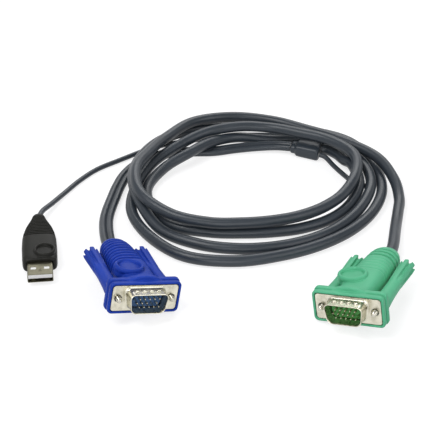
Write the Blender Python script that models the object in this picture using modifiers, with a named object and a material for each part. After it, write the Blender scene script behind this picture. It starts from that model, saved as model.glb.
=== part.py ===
"""A coiled switch cable: one long round cable ends in a green D plug, and a Y splitter divides its
other end into a twin lead with a blue D plug and a thin lead with a small flat plug.

Metres, +Z up. The origin is on the resting surface, at the middle of the cable's footprint.
Plug axes: X to the right seen from the front, +Y backwards into the plug, Z up, and the plate's
front face at Y = 0.
"""

import math

import bmesh
import bpy
import numpy as np
from mathutils import Euler, Matrix, Vector

# Gaps between pieces that touch on the real object.
GAP = 0.0003
PIN_GAP = 0.0002
SCREW_GAP = 0.0004

# Long cable, laid in four loose turns.
MAIN_RADIUS = 0.0029
MAIN_STEP = 0.0185
END_LENGTH = 0.040
END_STEP = 0.005
COIL_X = 0.019
COIL_Y = 0.026
TURN_START_DEG = 20.0
TURN_STEP_DEG = 20.0

# Each turn, clockwise seen from above: distance from the coil's middle and height of the
# cable's centre, in millimetres, every 20 degrees from 20 degrees down to -320.
TURN_RADII = (
    (56.5, 54.8, 51.0, 47.5, 44.0, 42.0, 43.0, 48.0, 55.8, 57.5, 57.5, 52.5, 47.0, 48.5, 51.8, 53.5,
     60.5, 64.0),
    (62.8, 61.0, 57.4, 55.2, 54.6, 55.0, 57.0, 60.0, 63.0, 63.5, 65.0, 67.0, 69.0, 70.0, 69.0, 68.5,
     70.5, 72.0),
    (69.6, 67.0, 63.8, 61.5, 60.8, 62.5, 67.5, 72.0, 70.5, 68.3, 63.9, 60.0, 56.0, 54.5, 52.0, 51.5,
     50.5, 54.0),
    (57.0, 52.5, 47.5, 44.0, 42.0, 41.5, 43.5, 49.0, 57.0, 63.5, 63.0, 60.5, 63.0, 68.5, 68.4, 64.5,
     61.0, 60.5),
)
TURN_HEIGHTS = (
    (5.7, 5.9, 3.7, 3.3, 3.1, 3.1, 3.1, 3.1, 3.1, 3.1, 3.2, 4.8, 7.2, 7.3, 5.4, 3.1, 3.1, 4.6),
    (5.7, 5.7, 4.3, 3.2, 3.1, 3.1, 3.1, 3.1, 3.5, 7.6, 9.3, 7.7, 6.9, 4.8, 3.1, 3.1, 3.5, 4.5),
    (3.1, 3.1, 3.1, 3.1, 3.1, 3.1, 3.1, 3.1, 3.1, 3.1, 3.1, 5.6, 8.2, 10.6, 12.3, 11.9, 12.4, 12.8),
    (12.5, 12.1, 10.0, 9.5, 9.4, 9.4, 9.4, 9.4, 10.7, 13.9, 15.6, 14.1, 11.9, 11.0, 9.9, 9.4, 9.4,
     11.3),
)
# From the splitter to the first turn, and from the last turn to the green plug, in millimetres.
MAIN_HEAD = ((57.4, 66.4, 3.9), (60.7, 65.1, 3.9), (65.0, 60.0, 4.1), (68.2, 53.0, 4.6))
MAIN_TAIL = (
    (84.3, 47.0, 10.6), (92.2, 30.2, 7.0), (93.6, 15.0, 3.8), (91.4, 3.0, 3.1), (89.2, -7.0, 3.1),
    (87.2, -16.5, 3.9), (85.6, -24.6, 4.9), (83.8, -32.4, 5.5), (81.8, -38.0, 6.0),
    (80.27, -41.15, 6.31),
)

# Twin lead to the blue plug: two joined jackets, lying flat.
TWIN_RADIUS = 0.0019
TWIN_HALF_PITCH = 0.0017
TWIN_STEP = 0.007
VGA_ROUTE = (
    (39.9, 69.2, 3.9), (31.5, 71.2, 3.4), (20.0, 71.2, 2.8), (8.0, 69.7, 2.3), (-3.5, 67.0, 2.1),
    (-15.0, 66.5, 2.1), (-26.0, 65.6, 2.1), (-36.5, 60.5, 2.1), (-45.5, 52.0, 2.1),
    (-51.2, 41.0, 2.1), (-54.2, 29.0, 2.1), (-56.0, 17.0, 2.1), (-57.4, 6.0, 2.1),
    (-57.8, -3.0, 2.5), (-57.2, -11.5, 3.4), (-56.2, -19.0, 4.4), (-54.9, -26.0, 5.2),
    (-53.7, -30.0, 5.8), (-52.44, -33.15, 6.16),
)

# Thin lead to the small flat plug.
USB_RADIUS = 0.00135
USB_STEP = 0.0052
USB_ROUTE = (
    (55.6, 60.1, 3.8), (58.8, 58.2, 3.1), (62.5, 51.8, 1.8), (66.0, 45.0, 1.5), (69.3, 38.6, 1.5),
    (71.0, 34.6, 1.5), (73.0, 31.2, 1.5), (75.8, 30.2, 1.5), (78.6, 31.4, 1.5), (80.3, 34.8, 1.5),
    (80.6, 40.0, 1.5), (80.0, 46.5, 1.5), (78.6, 53.4, 1.5), (75.6, 61.3, 1.5), (70.9, 69.5, 1.5),
    (63.9, 75.9, 1.5), (54.7, 81.0, 1.5), (43.6, 84.0, 1.5), (29.7, 86.6, 1.5), (13.7, 86.8, 1.5),
    (0.0, 84.8, 1.5), (-15.0, 80.7, 1.5), (-28.0, 76.8, 1.5), (-41.0, 70.0, 1.5),
    (-55.7, 58.2, 1.5), (-67.3, 48.2, 1.5), (-75.6, 36.5, 1.5), (-82.0, 24.0, 1.7),
    (-87.2, 11.5, 2.9), (-90.8, 2.4, 4.2), (-91.95, -4.45, 4.5),
)

# D plug, shared by the blue and the green one.
PLATE_WIDTH = 0.0308
PLATE_HEIGHT = 0.0125
PLATE_CORNER = 0.0014
PLATE_THICK = 0.0008
FLANGE_RIM_SIDE = 0.0014
FLANGE_RIM_TOP = 0.00135
FLANGE_WIDTH = PLATE_WIDTH + 2 * FLANGE_RIM_SIDE
FLANGE_HEIGHT = PLATE_HEIGHT + 2 * FLANGE_RIM_TOP
FLANGE_CORNER = 0.0022
FLANGE_FRONT = -0.0003
FLANGE_STEP = 0.0026
FLANGE_REAR = 0.0056
TIER_STEP_SIDE = 0.0003
TIER_STEP_TOP = 0.0002
REAR_TIER_WIDTH = FLANGE_WIDTH + 2 * TIER_STEP_SIDE
REAR_TIER_HEIGHT = FLANGE_HEIGHT + 2 * TIER_STEP_TOP
EDGE_ROUND = 0.0004
ARCH_WIDTH = 0.0260
ARCH_HEIGHT = 0.0182
RECESS_DEPTH = 0.0014
SHELL_TOP_WIDTH = 0.0177
SHELL_BOTTOM_WIDTH = 0.0149
SHELL_HEIGHT = 0.0092
SHELL_CORNER = 0.0024
SHELL_WALL = 0.0004
SHELL_REACH = 0.0058
INSULATOR_FRONT = -0.0006
INSULATOR_REAR = 0.0009
PIN_RADIUS = 0.00038
PIN_REACH = 0.0052
PIN_TIP = 0.0004
PIN_ROOT = 0.0005
PIN_PITCH = 0.00229
ROW_PITCH = 0.00198
ROW_SHIFT = 0.00057
EMPTY_PIN = 9
SCREW_FROM_EDGE = 0.002905
SCREW_SPACING = PLATE_WIDTH - 2 * SCREW_FROM_EDGE
SCREW_RADIUS = 0.00142
SCREW_TIP = -0.0022
SCREW_CHAMFER = 0.0005
SCREW_REAR = 0.0150
GRIP_FRONT = 0.0060
GRIP_BORE_REAR = 0.0156
GRIP_PROFILE = (
    (0.0036, 0.0060), (0.0039, 0.0066), (0.0038, 0.0100), (0.0033, 0.0190), (0.0032, 0.0250),
    (0.0034, 0.0300), (0.0037, 0.0390), (0.0038, 0.0442), (0.0035, 0.0448),
)
FLUTES = 6
FLUTE_RADIUS = 0.0013
FLUTE_AXIS = 0.0046
FLUTE_FRONT = 0.0260
PAD_WIDTH = 0.0140
PAD_DEPTH = 0.0126
PAD_BASE = 0.0046
PAD_TOP = 0.0083
PAD_RIM = 0.0016
PAD_RECESS = 0.0007
BLUE_PAD = (-0.0031, 0.0166)
GREEN_PAD = (-0.0036, 0.0182)
RIB_DEPTH = 0.0006

# Body behind the flange: place along the plug, width, height, squareness and rise of the section.
BODY_SECTIONS = (
    (0.0040, 0.0160, 0.0130, 4.0, 0.0), (0.0160, 0.0164, 0.0138, 4.0, 0.0),
    (0.0260, 0.0166, 0.0144, 3.2, 0.0002), (0.0330, 0.0164, 0.0142, 2.6, 0.0004),
    (0.0400, 0.0160, 0.0138, 2.3, 0.0005),
)
BLUE_TAIL = (
    (0.0440, 0.0156, 0.0130, 2.2, 0.0005), (0.0475, 0.0144, 0.0120, 2.2, 0.0003),
    (0.0495, 0.0130, 0.0110, 2.2, 0.0001), (0.0510, 0.0112, 0.0098, 2.2, 0.0),
)
GREEN_TAIL = (
    (0.0440, 0.0158, 0.0132, 2.2, 0.0005), (0.0475, 0.0152, 0.0126, 2.2, 0.0004),
    (0.0500, 0.0142, 0.0118, 2.2, 0.0002), (0.0525, 0.0122, 0.0104, 2.2, 0.0),
)
BLUE_RIBS = (0.0255, 0.0282, 0.0309, 0.0336, 0.0363, 0.0390, 0.0417, 0.0444, 0.0471)
GREEN_RIBS = (0.0422, 0.0456, 0.0490)
BLUE_RIB_HALF = 0.0006
GREEN_RIB_HALF = 0.0007

# Plug poses: place of the plate's front face, then yaw, pitch and roll in degrees.
BLUE_PLACE = (-0.0335, -0.0805, 0.0117)
BLUE_TURN = (21.8, -6.2, 13.1)
GREEN_PLACE = (0.0564, -0.0880, 0.0111)
GREEN_TURN = (-27.0, -5.2, -11.5)

# Small flat plug, with its overmould's front face at Y = 0.
USB_PLACE = (-0.0855, -0.0463, 0.0045)
USB_TURN = (8.8, 0.0, 1.7)
USB_SHELL_WIDTH = 0.0120
USB_SHELL_HEIGHT = 0.0045
USB_SHELL_WALL = 0.0003
USB_SHELL_CORNER = 0.0005
USB_SHELL_REACH = 0.0099
USB_SHELL_ROOT = 0.0040
USB_POCKET_REAR = USB_SHELL_ROOT + 2 * GAP
USB_HOLE_WIDTH = 0.0024
USB_HOLE_DEPTH = 0.0020
USB_HOLE_OFFSET = 0.0031
USB_HOLE_PLACE = -0.0046
TONGUE_WIDTH = USB_SHELL_WIDTH - 2 * (USB_SHELL_WALL + GAP)
TONGUE_THICK = 0.0018
TONGUE_RAISE = 0.0008
TONGUE_REACH = 0.0088
TONGUE_ROOT = 0.0036
CONTACT_WIDTH = 0.0010
CONTACT_THICK = 0.0002
CONTACT_LIFT = 0.0001
CONTACT_FRONT = -0.0084
CONTACT_REAR = -0.0010
CONTACT_FROM_EDGE = 0.0019
CONTACT_OUTER = TONGUE_WIDTH / 2 - CONTACT_FROM_EDGE
CONTACT_INNER = 0.0010
USB_BODY_SECTIONS = (
    (0.0000, 0.0158, 0.0080, 4.5, 0.0), (0.0006, 0.0166, 0.0088, 4.5, 0.0),
    (0.0140, 0.0168, 0.0088, 4.0, 0.0), (0.0190, 0.0158, 0.0087, 3.6, 0.0),
    (0.0250, 0.0130, 0.0083, 3.2, 0.0), (0.0310, 0.0102, 0.0076, 2.8, 0.0),
    (0.0370, 0.0078, 0.0066, 2.4, 0.0), (0.0420, 0.0062, 0.0056, 2.2, 0.0),
)
USB_RIBS = (0.0215, 0.0230, 0.0245, 0.0275, 0.0290, 0.0305, 0.0335, 0.0350, 0.0365)
USB_RIB_HALF = 0.0004
USB_RIB_DEPTH = 0.0004
USB_PAD_WIDTH = 0.0096
USB_PAD_DEPTH = 0.0082
USB_PAD_PLACE = 0.0125
USB_PAD_SHIFT = 0.0025
USB_PAD_BASE = 0.0030
USB_PAD_TOP = 0.0048
USB_PAD_RIM = 0.0008
USB_PAD_RECESS = 0.0005

# Splitter, with its wide right-hand face last.
SPLITTER_PLACE = (0.0405, 0.0690, 0.0039)
SPLITTER_YAW = -108.0
SPLITTER_SECTIONS = (
    (0.0000, 0.0084, 0.0054, 3.0, 0.0), (0.0028, 0.0084, 0.0054, 3.0, 0.0),
    (0.0032, 0.0096, 0.0066, 4.0, 0.0), (0.0040, 0.0104, 0.0074, 4.0, 0.0),
    (0.0150, 0.0126, 0.0076, 5.0, 0.0), (0.0164, 0.0122, 0.0070, 5.0, 0.0),
)

RING_SIDES = 20
CORNER_STEPS = 3
GRIP_SIDES = 18
PIN_SIDES = 8
FLUTE_SIDES = 6
SCREW_SIDES = 12
PAD_SIDES = 20
MAIN_SIDES = 10
THIN_SIDES = 8
TWIN_SIDES = 8
SPAN_SAMPLES = 24
EDGE_LIMIT_DEG = 40
MERGE = 0.000001
CUT_OVER = 0.001
MM = 0.001

for old in list(bpy.data.objects):
    bpy.data.objects.remove(old)

scene = bpy.context.scene
scene.unit_settings.system = "METRIC"
scene.unit_settings.scale_length = 1.0
cable = bpy.data.collections.new("switch_cable")
cutters = bpy.data.collections.new("cutters")
scene.collection.children.link(cable)
scene.collection.children.link(cutters)


def material(name, color, roughness, metallic=0.0):
    made = bpy.data.materials.new(name)
    made.use_nodes = True
    shader = made.node_tree.nodes["Principled BSDF"]
    shader.inputs["Base Color"].default_value = (*color, 1.0)
    shader.inputs["Roughness"].default_value = roughness
    shader.inputs["Metallic"].default_value = metallic
    return made


JACKET = material("grey_jacket", (0.062, 0.072, 0.082), 0.42)
BLUE = material("blue_overmould", (0.022, 0.052, 0.36), 0.45)
GREEN = material("green_overmould", (0.135, 0.51, 0.30), 0.45)
BLACK = material("black_overmould", (0.030, 0.030, 0.028), 0.5)
NICKEL = material("nickel_plate", (0.66, 0.63, 0.52), 0.28, 1.0)
STEEL = material("screw_steel", (0.60, 0.58, 0.52), 0.3, 1.0)
CONTACT = material("pin_plating", (0.78, 0.70, 0.52), 0.25, 1.0)
DARK_BLUE = material("blue_insulator", (0.035, 0.085, 0.18), 0.5)
DARK_GREEN = material("green_insulator", (0.045, 0.20, 0.05), 0.5)
WHITE = material("white_tongue", (0.72, 0.72, 0.70), 0.45)


def place(mesh, name, look=None, parent=None, keep=True):
    """An object of the mesh, in the object's collection, or among the cutters."""
    made = bpy.data.objects.new(name, mesh)
    if keep:
        cable.objects.link(made)
    else:
        cutters.objects.link(made)
        made.hide_render = True
        made.display_type = "WIRE"
    if look is not None:
        mesh.materials.clear()
        mesh.materials.append(look)
    if parent is not None:
        made.parent = parent
    return made


def mesh_of(curve, name):
    """The mesh that a curve evaluates to, with its doubled rim points merged."""
    temporary = bpy.data.objects.new(name + "_curve", curve)
    scene.collection.objects.link(temporary)
    bpy.context.view_layer.update()
    graph = bpy.context.evaluated_depsgraph_get()
    mesh = bpy.data.meshes.new_from_object(temporary.evaluated_get(graph))
    bpy.data.objects.remove(temporary)
    work = bmesh.new()
    work.from_mesh(mesh)
    bmesh.ops.remove_doubles(work, verts=work.verts, dist=MERGE)
    bmesh.ops.recalc_face_normals(work, faces=work.faces)
    work.to_mesh(mesh)
    work.free()
    mesh.name = name
    return mesh


def rounded(corners, radius):
    """The outline of a convex polygon with its corners rounded, anticlockwise."""
    points = []
    count = len(corners)
    for index, corner in enumerate(corners):
        here = Vector(corner)
        back = (Vector(corners[index - 1]) - here).normalized()
        ahead = (Vector(corners[(index + 1) % count]) - here).normalized()
        half = back.angle(ahead) / 2
        centre = here + (back + ahead).normalized() * radius / math.sin(half)
        start = here + back * radius / math.tan(half) - centre
        end = here + ahead * radius / math.tan(half) - centre
        for step in range(CORNER_STEPS + 1):
            share = step / CORNER_STEPS
            spoke = (start * (1 - share) + end * share).normalized() * radius
            points.append(centre + spoke)
    return points


def box_outline(width, height, radius):
    x, z = width / 2, height / 2
    return rounded([(x, -z), (x, z), (-x, z), (-x, -z)], radius)


def d_outline(inset):
    """The D of the plug's shell, with its walls moved in by inset."""
    top = SHELL_TOP_WIDTH / 2 - inset
    low = SHELL_BOTTOM_WIDTH / 2 - inset
    z = SHELL_HEIGHT / 2 - inset
    return rounded([(low, -z), (top, z), (-top, z), (-low, -z)], SHELL_CORNER - inset)


def ellipse(width, height, sides):
    turns = [2 * math.pi * side / sides for side in range(sides)]
    return [Vector((width / 2 * math.cos(t), height / 2 * math.sin(t))) for t in turns]


def prism(name, outlines, front, rear, shift=(0.0, 0.0)):
    """A flat outline in the plug's XZ plane, with any holes, extruded from front to rear along Y."""
    curve = bpy.data.curves.new(name, "CURVE")
    curve.dimensions = "2D"
    curve.fill_mode = "BOTH"
    curve.extrude = (rear - front) / 2
    for outline in outlines:
        spline = curve.splines.new("POLY")
        spline.points.add(len(outline) - 1)
        for point, (x, z) in zip(spline.points, outline):
            point.co = (x + shift[0], z + shift[1], 0.0, 1.0)
        spline.use_cyclic_u = True
    mesh = mesh_of(curve, name)
    mesh.transform(Matrix.Rotation(math.pi / 2, 4, "X"))
    mesh.transform(Matrix.Translation((0, (front + rear) / 2, 0)))
    return mesh


def upright(name, outlines, base, top, place_xy):
    """A flat outline in the plug's XY plane, extruded upwards from base to top."""
    mesh = prism(name, outlines, base, top)
    mesh.transform(Matrix.Rotation(math.pi / 2, 4, "X"))
    mesh.transform(Matrix.Translation((place_xy[0], place_xy[1], 0)))
    return mesh


def turned(name, profile, sides):
    """A profile of radius and place, from front to rear, turned about the plug's Y axis."""
    mesh = bpy.data.meshes.new(name)
    ends = [(0.0, profile[0][1])] + list(profile) + [(0.0, profile[-1][1])]
    points = [(radius, 0.0, -along) for radius, along in ends]
    mesh.from_pydata(points, [(i, i + 1) for i in range(len(points) - 1)], [])
    temporary = bpy.data.objects.new(name + "_profile", mesh)
    scene.collection.objects.link(temporary)
    screw = temporary.modifiers.new("turn", "SCREW")
    screw.steps = sides
    screw.render_steps = sides
    screw.use_merge_vertices = True
    screw.merge_threshold = MERGE
    bpy.context.view_layer.update()
    graph = bpy.context.evaluated_depsgraph_get()
    made = bpy.data.meshes.new_from_object(temporary.evaluated_get(graph))
    bpy.data.objects.remove(temporary)
    made.transform(Matrix.Rotation(math.pi / 2, 4, "X"))
    made.name = name
    return made


def section_at(sections, along):
    """Width, height, squareness and rise at a place between two sections."""
    table = np.array(sections)
    return [float(np.interp(along, table[:, 0], table[:, column])) for column in (1, 2, 3, 4)]


def loft(name, sections, ribs=(), rib_half=0.0, rib_depth=0.0, sides=RING_SIDES):
    """A body along Y through rounded cross-sections, with a narrow groove at each rib place."""
    clear = [along for along, *_ in sections if not any(abs(along - rib) < rib_half for rib in ribs)]
    stations = [(along, 0.0) for along in clear]
    for rib in ribs:
        stations += [(rib - rib_half, 0.0), (rib, rib_depth), (rib + rib_half, 0.0)]
    stations.sort()
    work = bmesh.new()
    rings = []
    for along, groove in stations:
        width, height, square, rise = section_at(sections, along)
        ring = []
        for side in range(sides):
            t = 2 * math.pi * (side + 0.5) / sides
            c, s = math.cos(t), math.sin(t)
            x = math.copysign(abs(c) ** (2 / square), c) * (width / 2 - groove)
            z = rise + math.copysign(abs(s) ** (2 / square), s) * (height / 2 - groove)
            ring.append(work.verts.new((x, along, z)))
        rings.append([work.edges.new((ring[i - 1], ring[i])) for i in range(sides)])
    for before, after in zip(rings, rings[1:]):
        bmesh.ops.bridge_loops(work, edges=before + after)
    for ends in (rings[0], rings[-1]):
        bmesh.ops.contextual_create(work, geom=ends)
    bmesh.ops.recalc_face_normals(work, faces=work.faces)
    mesh = bpy.data.meshes.new(name)
    work.to_mesh(mesh)
    work.free()
    return mesh


def boolean(target, tool, operation):
    change = target.modifiers.new(tool.name, "BOOLEAN")
    change.operation = operation
    change.solver = "EXACT"
    change.object = tool


def join(target, mesh, name, bevel=False):
    tool = place(mesh, name, parent=target.parent, keep=False)
    if bevel:
        soften(tool)
    boolean(target, tool, "UNION")


def cut(target, mesh, name):
    boolean(target, place(mesh, name, parent=target.parent, keep=False), "DIFFERENCE")


def soften(target, width=EDGE_ROUND):
    bevel = target.modifiers.new("edges", "BEVEL")
    bevel.width = width
    bevel.segments = 1
    bevel.limit_method = "ANGLE"
    bevel.angle_limit = math.radians(EDGE_LIMIT_DEG)


def smooth_look(target):
    for face in target.data.polygons:
        face.use_smooth = True


def rod(name, radius, front, rear, sides, shift=(0.0, 0.0)):
    mesh = turned(name, [(radius, front), (radius, rear)], sides)
    mesh.transform(Matrix.Translation((shift[0], 0, shift[1])))
    return mesh


def pin_places():
    """Number, X and Z of the fifteen contacts, from the upper left seen from the front."""
    places = []
    for row, side in enumerate((1, -1, 1)):
        for column in range(5):
            number = row * 5 + column + 1
            x = (column - 2) * PIN_PITCH + side * ROW_SHIFT
            places.append((number, x, (1 - row) * ROW_PITCH))
    return places


def stand(name, where, turn):
    """The empty that carries a plug: yaw, pitch and roll in degrees."""
    made = bpy.data.objects.new(name, None)
    cable.objects.link(made)
    made.rotation_mode = "YXZ"
    made.location = where
    yaw, pitch, roll = (math.radians(angle) for angle in turn)
    made.rotation_euler = Euler((pitch, roll, yaw), "YXZ")
    return made


def d_plug(color, look, insulator_look, where, turn, sections, ribs, rib_half, pad_at, empty):
    """One D plug: overmould, shell, insulator, pins and two thumbscrews."""
    base = stand(color + "_plug", where, turn)

    # Overmould: a flange in two tiers with an arch, and the body with its strain relief.
    tapered = loft(color + "_housing", sections, ribs, rib_half, RIB_DEPTH)
    body = place(tapered, color + "_housing", look, base)
    front = box_outline(FLANGE_WIDTH, FLANGE_HEIGHT, FLANGE_CORNER)
    rear = box_outline(REAR_TIER_WIDTH, REAR_TIER_HEIGHT, FLANGE_CORNER)
    arch = ellipse(ARCH_WIDTH, ARCH_HEIGHT, RING_SIDES)
    over = GAP
    front_tier = prism("front_tier", [front], FLANGE_FRONT, FLANGE_STEP + over)
    join(body, front_tier, color + "_front_tier", True)
    join(body, prism("rear_tier", [rear], FLANGE_STEP, FLANGE_REAR), color + "_rear_tier", True)
    join(body, prism("arch", [arch], FLANGE_STEP + over, FLANGE_REAR - over), color + "_arch")
    pad = [ellipse(PAD_WIDTH, PAD_DEPTH, PAD_SIDES)]
    dish = [ellipse(PAD_WIDTH - 2 * PAD_RIM, PAD_DEPTH - 2 * PAD_RIM, PAD_SIDES)]
    join(body, upright("pad", pad, PAD_BASE, PAD_TOP, pad_at), color + "_pad")
    hollow = upright("dish", dish, PAD_TOP - PAD_RECESS, PAD_TOP + CUT_OVER, pad_at)
    cut(body, hollow, color + "_dish")
    window = box_outline(PLATE_WIDTH + 2 * GAP, PLATE_HEIGHT + 2 * GAP, PLATE_CORNER)
    seat = prism("window", [window], FLANGE_FRONT - CUT_OVER, FLANGE_FRONT + RECESS_DEPTH)
    cut(body, seat, color + "_window")
    for side, sign in (("l", -1), ("r", 1)):
        x = sign * SCREW_SPACING / 2
        passage_rear = FLANGE_REAR + CUT_OVER
        hole = rod("passage", SCREW_RADIUS + SCREW_GAP, -CUT_OVER, passage_rear, SCREW_SIDES, (x, 0))
        cut(body, hole, color + "_passage_" + side)
    smooth_look(body)

    # Plate and shell, drawn from one sheet, with a hole for each screw.
    bore_width = 2 * (SCREW_RADIUS + SCREW_GAP)
    holes = []
    for x in (-SCREW_SPACING / 2, SCREW_SPACING / 2):
        holes.append([point + Vector((x, 0)) for point in ellipse(bore_width, bore_width, SCREW_SIDES)])
    plate = [box_outline(PLATE_WIDTH, PLATE_HEIGHT, PLATE_CORNER - GAP), d_outline(SHELL_WALL)] + holes
    shell = place(prism(color + "_shell", plate, 0.0, PLATE_THICK), color + "_shell", NICKEL, base)
    wall = [d_outline(0.0), d_outline(SHELL_WALL)]
    join(shell, prism("wall", wall, -SHELL_REACH, PLATE_THICK / 2), color + "_wall")
    smooth_look(shell)

    # Insulator, with a bore for each contact.
    filler = prism(color + "_insulator", [d_outline(SHELL_WALL + GAP)], INSULATOR_FRONT, INSULATOR_REAR)
    insulator = place(filler, color + "_insulator", insulator_look, base)
    tip = PIN_RADIUS / 2
    bore_front, bore_rear = INSULATOR_FRONT - CUT_OVER, INSULATOR_REAR + CUT_OVER
    for number, x, z in pin_places():
        if number == empty:
            continue
        bore = rod("bore", PIN_RADIUS + PIN_GAP, bore_front, bore_rear, PIN_SIDES, (x, z))
        cut(insulator, bore, f"{color}_bore_{number}")
        shape = [(tip, -PIN_REACH), (PIN_RADIUS, -PIN_REACH + PIN_TIP), (PIN_RADIUS, PIN_ROOT)]
        pin = turned(f"{color}_pin_{number}", shape, PIN_SIDES)
        pin.transform(Matrix.Translation((x, 0, z)))
        smooth_look(place(pin, f"{color}_pin_{number}", CONTACT, base))
    smooth_look(insulator)

    # Thumbscrews: a fluted grip on a steel screw, both with their origin on the screw's axis.
    for side, sign in (("l", -1), ("r", 1)):
        axis = bpy.data.objects.new(f"{color}_screw_axis_{side}", None)
        cable.objects.link(axis)
        axis.parent = base
        axis.location = (sign * SCREW_SPACING / 2, 0, 0)
        grip_mesh = turned(f"{color}_grip_{side}", GRIP_PROFILE, GRIP_SIDES)
        grip = place(grip_mesh, f"{color}_grip_{side}", look, axis)
        bore_radius = SCREW_RADIUS + SCREW_GAP
        socket = rod("socket", bore_radius, GRIP_FRONT - CUT_OVER, GRIP_BORE_REAR, SCREW_SIDES)
        cut(grip, socket, f"{color}_socket_{side}")
        for flute in range(FLUTES):
            t = 2 * math.pi * (flute + 0.5) / FLUTES
            middle = (FLUTE_AXIS * math.cos(t), FLUTE_AXIS * math.sin(t))
            groove_rear = GRIP_PROFILE[-1][1] + CUT_OVER
            groove = rod("flute", FLUTE_RADIUS, FLUTE_FRONT, groove_rear, FLUTE_SIDES, middle)
            cut(grip, groove, f"{color}_flute_{side}_{flute}")
        smooth_look(grip)
        point_end = (SCREW_RADIUS - SCREW_CHAMFER, SCREW_TIP)
        shaft = [point_end, (SCREW_RADIUS, SCREW_TIP + SCREW_CHAMFER), (SCREW_RADIUS, SCREW_REAR)]
        shaft_mesh = turned(f"{color}_screw_{side}", shaft, SCREW_SIDES)
        smooth_look(place(shaft_mesh, f"{color}_screw_{side}", STEEL, axis))


d_plug("blue", BLUE, DARK_BLUE, BLUE_PLACE, BLUE_TURN, BODY_SECTIONS + BLUE_TAIL,
       BLUE_RIBS, BLUE_RIB_HALF, BLUE_PAD, EMPTY_PIN)
d_plug("green", GREEN, DARK_GREEN, GREEN_PLACE, GREEN_TURN, BODY_SECTIONS + GREEN_TAIL,
       GREEN_RIBS, GREEN_RIB_HALF, GREEN_PAD, None)

# Small flat plug: overmould, folded shell, tongue and four contacts.
flat = stand("usb_plug", USB_PLACE, USB_TURN)
over_mesh = loft("usb_overmould", USB_BODY_SECTIONS, USB_RIBS, USB_RIB_HALF, USB_RIB_DEPTH)
over_body = place(over_mesh, "usb_overmould", BLACK, flat)
usb_pad = [ellipse(USB_PAD_WIDTH, USB_PAD_DEPTH, PAD_SIDES)]
usb_dish = [ellipse(USB_PAD_WIDTH - 2 * USB_PAD_RIM, USB_PAD_DEPTH - 2 * USB_PAD_RIM, PAD_SIDES)]
pad_at = (USB_PAD_SHIFT, USB_PAD_PLACE)
join(over_body, upright("pad", usb_pad, USB_PAD_BASE, USB_PAD_TOP, pad_at), "usb_pad")
usb_hollow = upright("dish", usb_dish, USB_PAD_TOP - USB_PAD_RECESS, USB_PAD_TOP + CUT_OVER, pad_at)
cut(over_body, usb_hollow, "usb_dish")
pocket = box_outline(USB_SHELL_WIDTH + 2 * GAP, USB_SHELL_HEIGHT + 2 * GAP, USB_SHELL_CORNER + GAP)
cut(over_body, prism("pocket", [pocket], -CUT_OVER, USB_POCKET_REAR), "usb_pocket")
smooth_look(over_body)

outer = box_outline(USB_SHELL_WIDTH, USB_SHELL_HEIGHT, USB_SHELL_CORNER)
inner_width = USB_SHELL_WIDTH - 2 * USB_SHELL_WALL
inner_height = USB_SHELL_HEIGHT - 2 * USB_SHELL_WALL
inner = box_outline(inner_width, inner_height, USB_SHELL_CORNER - USB_SHELL_WALL)
usb_shell_mesh = prism("usb_shell", [outer, inner], -USB_SHELL_REACH, USB_SHELL_ROOT)
usb_shell = place(usb_shell_mesh, "usb_shell", NICKEL, flat)
for side, sign in (("l", -1), ("r", 1)):
    square = box_outline(USB_HOLE_WIDTH, USB_HOLE_DEPTH, USB_SHELL_CORNER / 2)
    latch_at = (sign * USB_HOLE_OFFSET, USB_HOLE_PLACE)
    latch = upright("latch", [square], -USB_SHELL_HEIGHT, USB_SHELL_HEIGHT, latch_at)
    cut(usb_shell, latch, "usb_latch_" + side)

strip = box_outline(TONGUE_WIDTH, TONGUE_THICK, USB_SHELL_CORNER / 2)
tongue = prism("usb_tongue", [strip], -TONGUE_REACH, TONGUE_ROOT, (0, TONGUE_RAISE))
place(tongue, "usb_tongue", WHITE, flat)
contact_z = TONGUE_RAISE - TONGUE_THICK / 2 - CONTACT_LIFT - CONTACT_THICK / 2
for number, x in enumerate((-CONTACT_OUTER, -CONTACT_INNER, CONTACT_INNER, CONTACT_OUTER), 1):
    half_x, half_z = CONTACT_WIDTH / 2, CONTACT_THICK / 2
    corners = [(half_x, -half_z), (half_x, half_z), (-half_x, half_z), (-half_x, -half_z)]
    blade = [Vector(corner) for corner in corners]
    strip_mesh = prism(f"usb_contact_{number}", [blade], CONTACT_FRONT, CONTACT_REAR, (x, contact_z))
    place(strip_mesh, f"usb_contact_{number}", CONTACT, flat)

# Splitter: its plug axis runs from the twin lead's collar to the wide face.
yoke = stand("splitter_stand", SPLITTER_PLACE, (SPLITTER_YAW, 0.0, 0.0))
smooth_look(place(loft("splitter", SPLITTER_SECTIONS), "splitter", JACKET, yoke))


def smooth_path(points, step):
    """Points step apart on a smooth curve through the given ones, and closer near its two ends."""
    given = np.array(points, dtype=float)
    given = np.vstack([2 * given[0] - given[1], given, 2 * given[-1] - given[-2]])
    dense = []
    for before, start, end, after in zip(given, given[1:], given[2:], given[3:]):
        for t in np.linspace(0, 1, SPAN_SAMPLES, endpoint=False):
            dense.append(0.5 * (2 * start + (end - before) * t
                                + (2 * before - 5 * start + 4 * end - after) * t ** 2
                                + (3 * start - before - 3 * end + after) * t ** 3))
    dense = np.array(dense + [given[-2]])
    run = np.concatenate([[0], np.cumsum(np.linalg.norm(np.diff(dense, axis=0), axis=1))])
    near = np.linspace(0, END_LENGTH, int(round(END_LENGTH / END_STEP)) + 1)
    count = int(round((run[-1] - 2 * END_LENGTH) / step)) + 1
    middle = np.linspace(END_LENGTH, run[-1] - END_LENGTH, count)
    where = np.concatenate([near[:-1], middle, run[-1] - near[-2::-1]])
    return np.stack([np.interp(where, run, dense[:, axis]) for axis in range(3)], axis=1)


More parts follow.
